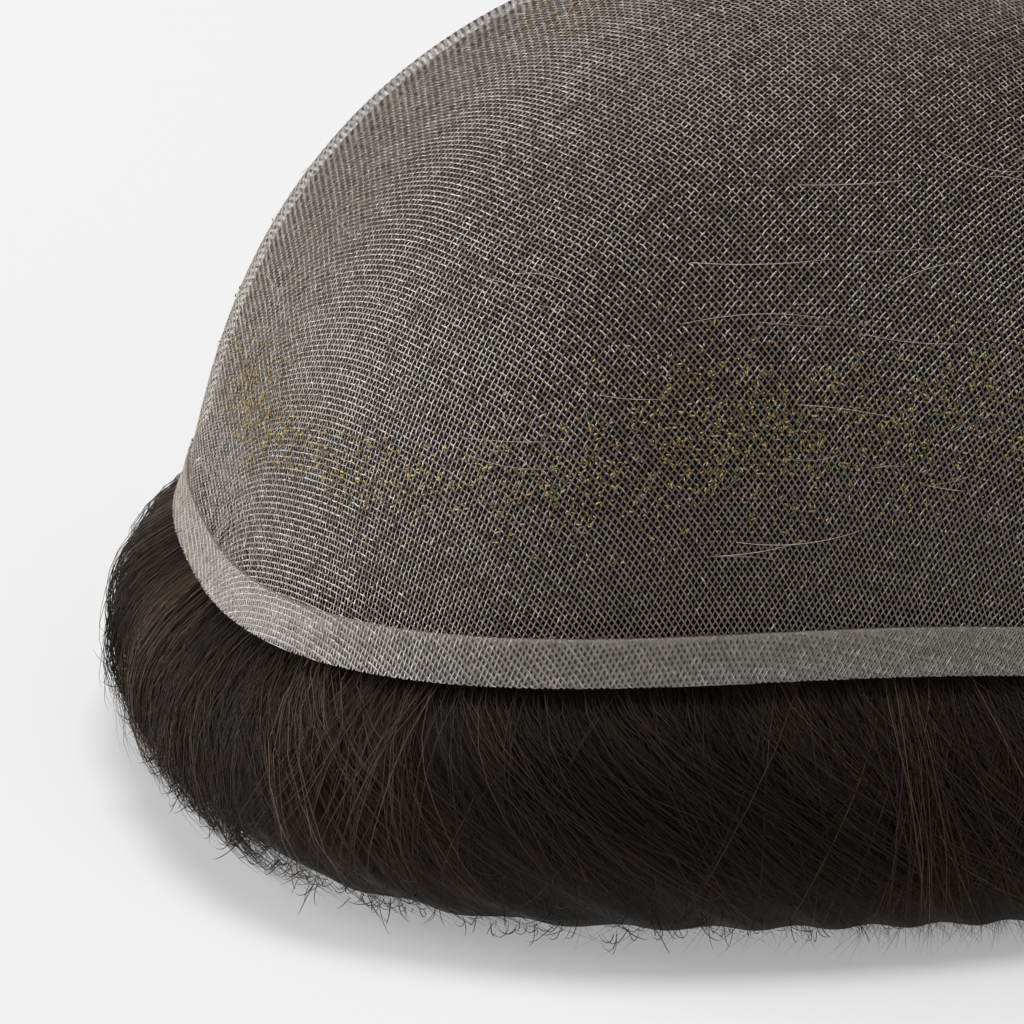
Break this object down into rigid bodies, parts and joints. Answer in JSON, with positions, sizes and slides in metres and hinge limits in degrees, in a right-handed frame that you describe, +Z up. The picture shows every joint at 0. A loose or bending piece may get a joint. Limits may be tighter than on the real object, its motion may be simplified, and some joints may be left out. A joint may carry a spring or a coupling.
{
  "type": "toupee hairpiece",
  "caption": "Toupee turned inside out: domed net base with a folded hem, its dark hair pressed under the net and spilling out below the hem in locks that rest on the floor.",
  "frame": {"origin": "on the floor, at the middle of the bounding box", "axes": "+Z up through the crown; +X along the base's length, towards the end that the hair is combed to; -Y is the side that the picture shows"},
  "size_m": [0.1914, 0.1512, 0.1122],
  "materials": {
    "lace_net": "fine open net, faintly glossy threads",
    "folded_net": "doubled net with small stitches",
    "hair_under_net": "combed hair, satin",
    "hair_locks": "combed hair, satin with pale glints"
  },
  "bodies": {
    "root": {"lace_cap": "lace_net", "hem_band": "folded_net", "hair_bed": "hair_under_net", "hair_fringe": "hair_locks"}
  },
  "joints": []
}
